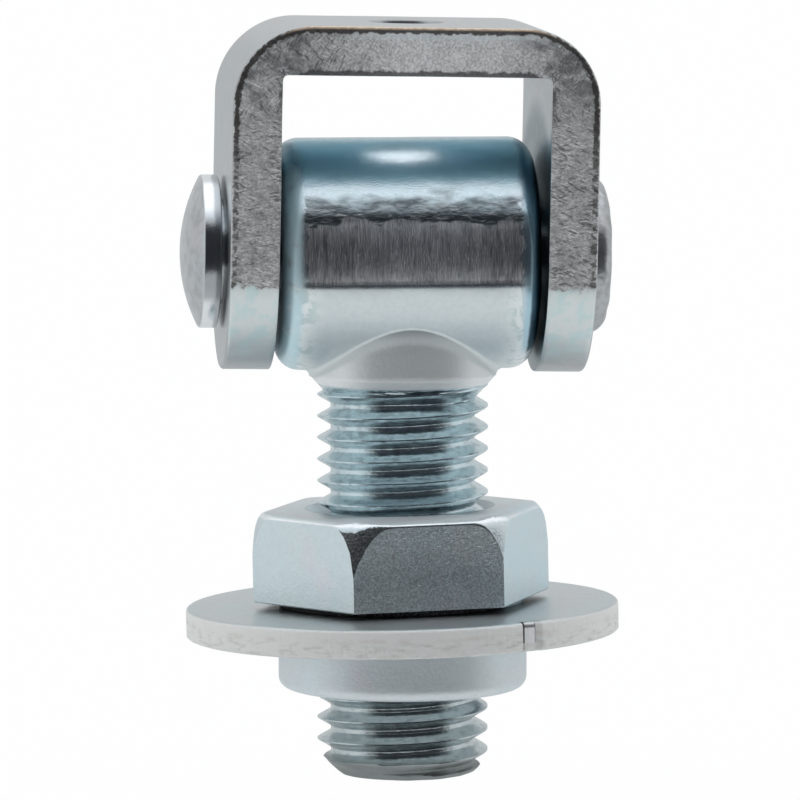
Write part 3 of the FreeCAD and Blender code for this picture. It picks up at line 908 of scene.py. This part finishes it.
def hole_ring(middle, radius):
    return [(middle + radius * math.cos(turn), radius * math.sin(turn)) for turn in steps(0, math.tau, 96)]


def in_bar(along, over, inset, widen):
    """Whether a place on the bar is clear of its outline and of its holes."""
    past_end = max(BAR_HALF - along, along - BAR_LENGTH + BAR_HALF, 0)
    clear = math.hypot(past_end, over) < BAR_HALF - inset
    for middle, radius in HOLES:
        clear = clear and math.hypot(along - middle, over) > radius + widen
    return clear


def flat_face(blank, inset, widen, out):
    """One broad face of the bar, between its outline and its holes."""
    loops = [[(a - inset * wa, o - inset * wo) for a, o, wa, wo in bar_outline()[:-1]]]
    loops += [hole_ring(middle, radius + widen)[:-1] for middle, radius in HOLES]
    points, edges = [], []
    for loop in loops:
        first = len(points)
        points += loop
        edges += [(first + i, first + (i + 1) % len(loop)) for i in range(len(loop))]
    for along in bar_places(1.5, BAR_LENGTH - 1.5):
        for over in steps(-12, 12, 10):
            if in_bar(along, over, inset + GRID, widen + GRID):
                points.append((along, over))
    flat = geometry.delaunay_2d_cdt([Vector(point) for point in points], edges, [], 1, 1e-5)
    first = len(blank.points)
    blank.points += [fold(point.x, point.y, out) for point in flat[0]]
    for face in flat[2]:
        middle = sum((flat[0][i] for i in face), Vector((0, 0))) / len(face)
        if all(math.hypot(middle.x - at, middle.y) > radius + widen for at, radius in HOLES):
            blank.faces.append(tuple(first + i for i in face))


def shear_grain(along, over, out):
    """Depth of the marks that the shear left, in millimetres."""
    lap = noise.noise(Vector((along / 0.5, out / 2.0, over)))
    wide = noise.noise(Vector((along / 3, out / 2.5, over + 40)))
    return GRAIN_DEPTH * lap + GRAIN_WAVE * wide


bar = Blank()
edge_rows = arc((EDGE_ROLL, HALF_BAR - EDGE_ROLL), (-EDGE_ROLL, EDGE_ROLL), 90, 0, 5)
edge_rows += [(0, out) for out in steps(HALF_BAR - EDGE_ROLL, 0.15 - HALF_BAR, 12)[1:]]
edge_rows += [(0.06, 0.04 - HALF_BAR), (INNER_EDGE, -HALF_BAR)]
rows = []
for inset, out in edge_rows:
    row = []
    for along, over, way_along, way_over in bar_outline():
        cut = inset
        if 0 <= inset < 0.05:
            level = fold(along, over, out).z
            cut += shear_grain(along, over, out) * ease(level, 40, 42) * ease(out, -2.6, -2.2)
        row.append(fold(along - cut * way_along, over - cut * way_over, out))
    rows.append(row)
bar.skin(rows)
flat_face(bar, EDGE_ROLL, HOLE_EDGES[0][0], HALF_BAR)
flat_face(bar, INNER_EDGE, HOLE_EDGES[-1][0], -HALF_BAR)
for middle, radius in HOLES:
    rows = []
    for widen, out in HOLE_EDGES:
        rows.append([fold(along, over, out) for along, over in hole_ring(middle, radius + widen)])
    bar.skin(rows)

sheared = Plating("sheared_zinc", SHEARED_ZINC, roughness=0.33)
across, deep, high = sheared.split(sheared.place)
beside = sheared.size(across)
sideways, endways, upward = sheared.facing
on_web = sheared.rise(high, 58, 65)
in_hole = sheared.both(sheared.rise(sheared.size(deep), 10.5, 10.0), on_web)
cut_face = sheared.both(sheared.rise(sheared.size(endways), 0.45, 0.8), sheared.without(in_hole))
# Painted light: faces turned up are painted paler.
sheared.paint(WEB_TOP_LIGHT, sheared.rise(upward, 0.6, 0.9))
# Painted shade: the legs' inner faces round the pin are painted dark teal, more on the right leg.
from_pin = sheared.distance(sheared.math("SUBTRACT", high, PIN_LEVEL), deep)
shaded_gap = sheared.both(sheared.rise(sheared.size(sideways), 0.7, 0.9), sheared.rise(from_pin, 19, 15.5))
shaded_gap = sheared.both(shaded_gap, sheared.rise(beside, LEG_MIDDLE + 1, LEG_MIDDLE - 1))
sheared.paint(LEG_GAP_SHADE, shaded_gap, sheared.rise(across, -1, 1, top=0.85, bottom=0.25))
# Painted reflection: the web's underside is painted light blue and made partly matt.
beneath = sheared.both(sheared.rise(upward, -0.6, -0.9), on_web)
sheared.paint(UNDERSIDE_REFLECTION, beneath)
sheared.dust(0.6, beneath)

bend = sheared.rise(across, -1, 1, top=RIGHT_BEND, bottom=LEFT_BEND)
beyond = sheared.math("SUBTRACT", sheared.math("ADD", beside, bend), LEG_MIDDLE + HALF_BAR)
above = sheared.math("SUBTRACT", sheared.math("ADD", high, bend), WEB_MIDDLE + HALF_BAR)
from_bend = sheared.distance(sheared.math("MAXIMUM", beyond, 0.0), sheared.math("MAXIMUM", above, 0.0))
depth = sheared.math("SUBTRACT", bend, from_bend)
ragged = sheared.math("ADD", high, sheared.cloud(1.2, detail=4))
rough_part = sheared.both(cut_face, sheared.rise(ragged, 41.1, 41.7))
web_middle = sheared.both(sheared.band(across, -6, 13, soft=6), on_web)
above_legs = sheared.rise(high, 59.9, 60.1)


def strokes(leg_slope, web_slope, size, length, low, high, seed):
    """Short scratches on the front faces, which slope one way on the legs and another on the web."""
    slope = sheared.rise(above_legs, 0, 1, top=math.radians(web_slope), bottom=math.radians(leg_slope))
    turn = {"Vector": sheared.place, "Angle": slope, "Axis": (0, 1, 0)}
    slanting = sheared.add("VectorRotate", turn, rotation_type="AXIS_ANGLE")
    scale = (1 / (size * length), 1 / size, 1 / size)
    return sheared.rise(sheared.grain(slanting, scale, 3.0, seed), low, high)


light = strokes(-15, -24, 0.18, 8, 0.50, 0.66, 1)
light = sheared.both(light, sheared.cloud(1.8, low=0.36, high=0.56, seed=31))
more = strokes(14, 38, 0.18, 6, 0.51, 0.67, 6)
more = sheared.both(more, sheared.cloud(1.5, low=0.40, high=0.60, seed=53))
light = sheared.math("MAXIMUM", light, more)
dark = strokes(-24, 64, 0.2, 5, 0.52, 0.65, 9)
dark = sheared.both(dark, sheared.cloud(1.6, low=0.38, high=0.60, seed=37))
more = strokes(10, -52, 0.2, 5, 0.52, 0.66, 14)
more = sheared.both(more, sheared.cloud(1.6, low=0.38, high=0.60, seed=59))
dark = sheared.math("MAXIMUM", dark, more)
dark = sheared.both(dark, sheared.rise(web_middle, 0, 1, top=0.35, bottom=1.0))
grit = sheared.cloud(0.3, detail=5, low=0.38, high=0.62, seed=41)
blotch = sheared.cloud(1.1, detail=4, low=0.35, high=0.65, seed=11)
ground = sheared.mix(web_middle, tone(*LEG_GROUND), tone(*WEB_GROUND))
sheared.colour = sheared.mix(rough_part, sheared.colour, ground)
blotch = sheared.both(blotch, sheared.rise(web_middle, 0, 1, top=0.15, bottom=0.35))
sheared.paint(BLOTCH_GREY, rough_part, blotch)
sheared.paint(GRIT_GREY, rough_part, grit, 0.42)
sheared.paint(STROKE_WHITE, rough_part, light, 0.75)
sheared.paint(STROKE_BLACK, rough_part, dark, 0.75)
smudge = sheared.cloud(1.6, stretch=(1.5, 1, 1), detail=5, low=0.40, high=0.60, seed=21)
sheared.paint(SMUDGE_BLACK, rough_part, on_web, sheared.rise(beside, 9, 15), smudge, 0.62)

wobble = sheared.math("MULTIPLY", sheared.cloud(0.6, detail=4, seed=6), 0.3)
wobble = sheared.math("ADD", depth, wobble)
sheared.paint(EDGE_LIGHT, rough_part, web_middle, sheared.band(wobble, 0.85, 1.6, soft=0.25), 0.6)
beads = sheared.math("MULTIPLY", high, math.tau / 1.4)
beads = sheared.math("ADD", beads, sheared.math("MULTIPLY", sheared.cloud(1.5, seed=2), 5))
beads = sheared.rise(sheared.math("SINE", beads), -0.2, 0.5, top=0.1, bottom=0.75)
beads = sheared.blend(sheared.rise(high, 52, 60), beads, 1.0)
sheared.paint(EDGE_LINE_BLACK, rough_part, sheared.band(wobble, 0.32, 0.92, soft=0.1), beads, 0.9)
sheared.paint(INNER_LINE_BLACK, rough_part, on_web, sheared.rise(wobble, 5.0, 5.3), 0.85)
# A pale orange line along the web's top front edge: rust tint together with a painted rim highlight.
rust_and_rim_highlight = sheared.both(sheared.band(depth, -0.1, 0.32, soft=0.12), sheared.band(across, -15, 16, soft=2))
sheared.paint(RUST_AND_RIM_HIGHLIGHT, rust_and_rim_highlight, on_web, sheared.rise(deep, -13.2, -13.4), 0.75)
inside = sheared.math("SUBTRACT", beside, LEG_MIDDLE - HALF_BAR)
under = sheared.math("SUBTRACT", high, WEB_MIDDLE - HALF_BAR)
crease = sheared.rise(sheared.distance(inside, under), 1.3, 0.6)
crumbs = sheared.cloud(0.3, detail=4, low=0.48, high=0.62, seed=19)
sheared.paint(CREASE_LIGHT, cut_face, crease, crumbs, 0.55)
# Painted light on the smooth rounded ends of the legs: pale, with patches of painted teal reflection.
low_part = sheared.both(cut_face, sheared.rise(ragged, 41.7, 41.1))
sheared.paint(LEG_END_LIGHT, low_part, 0.85)
sheared.paint(LEG_END_TEAL_REFLECTION, low_part, sheared.cloud(1.8, detail=5, low=0.46, high=0.60, seed=27), 0.6)
sheared.dust(0.6, cut_face)
sheared.dust(0.42, sheared.both(rough_part, web_middle))
sheared.dull(0.50, rough_part)
marks = sheared.math("ADD", sheared.math("SUBTRACT", light, dark), grit)
marks = sheared.math("MULTIPLY", marks, 0.5)
sheared.raise_by(0.05, marks, rough_part)
sheared.raise_by(0.004, sheared.cloud(5, detail=2))
sheared.raise_by(0.004, sheared.cloud(0.3, detail=4))
leaning = Matrix.Translation((0, 0, LEAN_LEVEL)) @ Matrix.Rotation(BAR_LEAN, 4, "Y")
leaning = leaning @ Matrix.Translation((0, 0, -LEAN_LEVEL))
bar.make("folded_bracket", "bracket", "u_bracket", sheared.done(), crease=40, lean=leaning)


# The hinge pin goes through both legs and the eye, with a domed head a little clear of the left
# leg. Its right end is peened over in place, which leaves a low head with hammer marks.

PIN_RADIUS = 6.0
HEAD_RADIUS = 8.8
HEAD_FACE = 20.9
HEAD_EDGE = 0.25
RIM_WIDTH = 2.0
DOME_HEIGHT = 2.2
HEAD_GAP = 0.55
PEEN_RADIUS = 9.0
PEEN_HEIGHT = 2.55
PEEN_EDGE = 1.8
DENT_DEPTH = 0.10
DENT_SIZE = 2.2

HEADED_ZINC = (0.53, 0.545, 0.56)
# Painted highlight along the top of the domed head's rim.
HEAD_RIM_HIGHLIGHT = (0.92, 0.94, 0.95)
# Painted light along the bottom of that rim.
HEAD_RIM_LOW_LIGHT = (0.92, 0.95, 0.97)
# Painted dark reflection between them.
HEAD_RIM_DARK_REFLECTION = (0.34, 0.36, 0.38)
PEEN_GREY = (0.42, 0.43, 0.44)
PEEN_WORN = (0.30, 0.285, 0.28)
DOME_GREY = (0.43, 0.44, 0.445)

pin = Blank()
ball = (HEAD_RADIUS**2 + DOME_HEIGHT**2) / (2 * DOME_HEIGHT)
spread = math.degrees(math.asin((HEAD_RADIUS - HEAD_EDGE) / ball))
head = -HEAD_FACE - HEAD_GAP
outline = arc((head - RIM_WIDTH - DOME_HEIGHT + ball, 0), (ball, ball), 180, 180 - spread, 20)
outline += [(head - RIM_WIDTH - 0.02, HEAD_RADIUS - 0.09), (head - RIM_WIDTH + 0.15, HEAD_RADIUS)]
outline += [(head - HEAD_EDGE, HEAD_RADIUS), (head - 0.08, HEAD_RADIUS - 0.07)]
outline += [(head, HEAD_RADIUS - HEAD_EDGE), (head, PIN_RADIUS)]
outline += [(along, PIN_RADIUS) for along in steps(-20, 20, 8) + [HEAD_FACE]]
outline += [(HEAD_FACE, PEEN_RADIUS - 0.1), (HEAD_FACE + 0.1, PEEN_RADIUS)]
peen_flat = PEEN_RADIUS - PEEN_EDGE
outline += arc((HEAD_FACE + PEEN_HEIGHT - PEEN_EDGE, peen_flat), (PEEN_EDGE, PEEN_EDGE), 90, 0, 10)
outline += [(HEAD_FACE + PEEN_HEIGHT, radius) for radius in steps(peen_flat, 0, 8)[1:]]
rows = []
for along, radius in outline:
    row = []
    for turn in steps(0, math.tau, 120):
        dent = 0
        if along > HEAD_FACE + 0.2:
            place = around_z(radius / DENT_SIZE, along / 2, turn)
            dent = -DENT_DEPTH * (1 + noise.noise(place))
        row.append(around_x(along + dent * ease(along, 22, 23.5), radius + dent * 0.6, turn))
    rows.append(row)
pin.skin(rows)

headed = Plating("headed_zinc", HEADED_ZINC, roughness=0.20)
across, _, level = headed.split(headed.place)
peened = headed.rise(across, 20.7, 20.9)
headed.raise_by(0.05, headed.cloud(1.6), peened)
# Painted reflection on the domed head's rim: a painted highlight along its top, painted light along its
# bottom and a painted dark reflection between.
on_side = headed.band(across, -23.4, -21.6, soft=0.1)
headed.paint(HEAD_RIM_HIGHLIGHT, on_side, headed.rise(level, 48, 50), 0.85)
headed.paint(HEAD_RIM_LOW_LIGHT, on_side, headed.rise(level, 39.5, 38.5), 0.7)
headed.paint(HEAD_RIM_DARK_REFLECTION, on_side, headed.band(level, 39.5, 48, soft=1.5))
headed.paint(PEEN_GREY, peened, 0.5)
domed = headed.rise(across, -23.4, -23.6)
headed.paint(DOME_GREY, domed, headed.cloud(1.4, detail=5, low=0.40, high=0.70, seed=3))
headed.dull(0.26, domed)
headed.paint(PEEN_WORN, peened, headed.cloud(0.9, detail=5, low=0.38, high=0.72), 0.6)
headed.dull(0.36, peened)
headed.raise_by(0.003, headed.cloud(0.25, detail=4))
pin.make("headed_pin", "bracket", "rivet_pin", headed.done(), crease=30, lean=leaning)


# The floor is a wide pale sheet, low enough for the stem at its lowest.
# The metal doesn't mirror it, as the photo's metal mirrors a dark opening down to the horizon.

FLOOR_LEVEL = -24.5 * MM
FLOOR_HALF = 2500 * MM
FLOOR_TONE = 0.9
FLOOR_GLOW = 0.96  # how white the camera sees it

floor = bpy.data.meshes.new("floor")
corners = ((-1, -1), (1, -1), (1, 1), (-1, 1))
corners = [(side * FLOOR_HALF, end * FLOOR_HALF, FLOOR_LEVEL) for side, end in corners]
floor.from_pydata(corners, [], [(0, 1, 2, 3)])
sheet = bpy.data.objects.new("floor", floor)
bpy.context.scene.collection.objects.link(sheet)
sheet.visible_glossy = False

pale = bpy.data.materials.new("pale_sheet")
pale.use_nodes = True
floor.materials.append(pale)
pale_nodes = Nodes(pale.node_tree)
matt = pale.node_tree.nodes["Principled BSDF"]
matt.inputs["Base Color"].default_value = tone(FLOOR_TONE, FLOOR_TONE, FLOOR_TONE)
matt.inputs["Roughness"].default_value = 1.0
matt.inputs["Specular IOR Level"].default_value = 0.0
to_camera = pale_nodes.add("LightPath", output="Is Camera Ray")
white = pale_nodes.add("Emission", {"Color": tone(1, 1, 1), "Strength": 1.0})
shown = pale_nodes.add("MixShader", {0: pale_nodes.both(to_camera, FLOOR_GLOW), 1: matt.outputs[0], 2: white})
pale.node_tree.links.new(shown, pale.node_tree.nodes["Material Output"].inputs["Surface"])


# The studio is a white tent with a dark opening for the camera and a soft lamp above it.
# It is greyer behind the hinge and below it.

OPENING_SIDES = (-62, 72)  # degrees from the front to the right
OPENING_FOOT = -28  # degrees above the horizon, as for the top
OPENING_TOP = 40
LAMP_SWEEP = (52, 128)  # degrees up from the front and over
LAMP_HALF = 0.72

TENT_WHITE = tone(0.92, 0.94, 0.95)
TENT_BACK = tone(0.72, 0.74, 0.75)
TENT_FLOOR = tone(0.8, 0.82, 0.83)
OPENING_BLACK = tone(0.055, 0.058, 0.066)
LAMP_WHITE = tone(1.25, 1.3, 1.35)

world = bpy.data.worlds.new("studio")
bpy.context.scene.world = world
world.use_nodes = True
tent = Nodes(world.node_tree)
way = tent.split(tent.add("TexCoord", output="Generated"))
forward = tent.math("MULTIPLY", way[1], -1)
azimuth = tent.angle(way[0], forward)
height = tent.math("MULTIPLY", tent.math("ARCSINE", way[2]), 180 / math.pi)
sweep = tent.angle(way[2], forward)
above_foot = tent.rise(height, OPENING_FOOT, OPENING_FOOT + 2)
below_top = tent.rise(height, OPENING_TOP + 10, OPENING_TOP)
opening = tent.both(tent.band(azimuth, *OPENING_SIDES, soft=18), above_foot, below_top)
lamp = tent.both(tent.band(sweep, *LAMP_SWEEP, soft=4), tent.band(way[0], -LAMP_HALF, LAMP_HALF, soft=0.12))
light = tent.mix(tent.rise(forward, 0.1, -0.8), TENT_WHITE, TENT_BACK)
light = tent.mix(tent.rise(way[2], -0.65, -0.95), light, TENT_FLOOR)
light = tent.mix(opening, light, OPENING_BLACK)
light = tent.mix(lamp, light, LAMP_WHITE)
inside = tent.add("Background", {"Color": light, "Strength": 1.0})
plain = tent.add("Background", {"Color": tone(1, 1, 1), "Strength": 1.0})
to_camera = tent.add("LightPath", output="Is Camera Ray")
shown = tent.add("MixShader", {0: to_camera, 1: inside, 2: plain})
world.node_tree.links.new(shown, world.node_tree.nodes["World Output"].inputs["Surface"])
bpy.context.scene.view_settings.view_transform = "Standard"


# The camera stands far off with a long lens, a little to the left and a little above the pin.

AZIMUTH = math.radians(-6.0)
ELEVATION = math.radians(5.8)
DISTANCE = 0.788
AIM = Vector((-0.0003, 0.0, 0.02695))

camera = bpy.data.cameras.new("camera")
camera.lens = 307.5
camera.sensor_width = 36
camera.clip_start = 0.01
camera.clip_end = 20
viewer = bpy.data.objects.new("camera", camera)
bpy.context.scene.collection.objects.link(viewer)
level_way = Vector((math.sin(AZIMUTH), -math.cos(AZIMUTH), 0))
back = level_way * math.cos(ELEVATION) + Vector((0, 0, math.sin(ELEVATION)))
viewer.location = AIM + DISTANCE * back
viewer.rotation_euler = (-back).to_track_quat("-Z", "Y").to_euler()
bpy.context.scene.camera = viewer
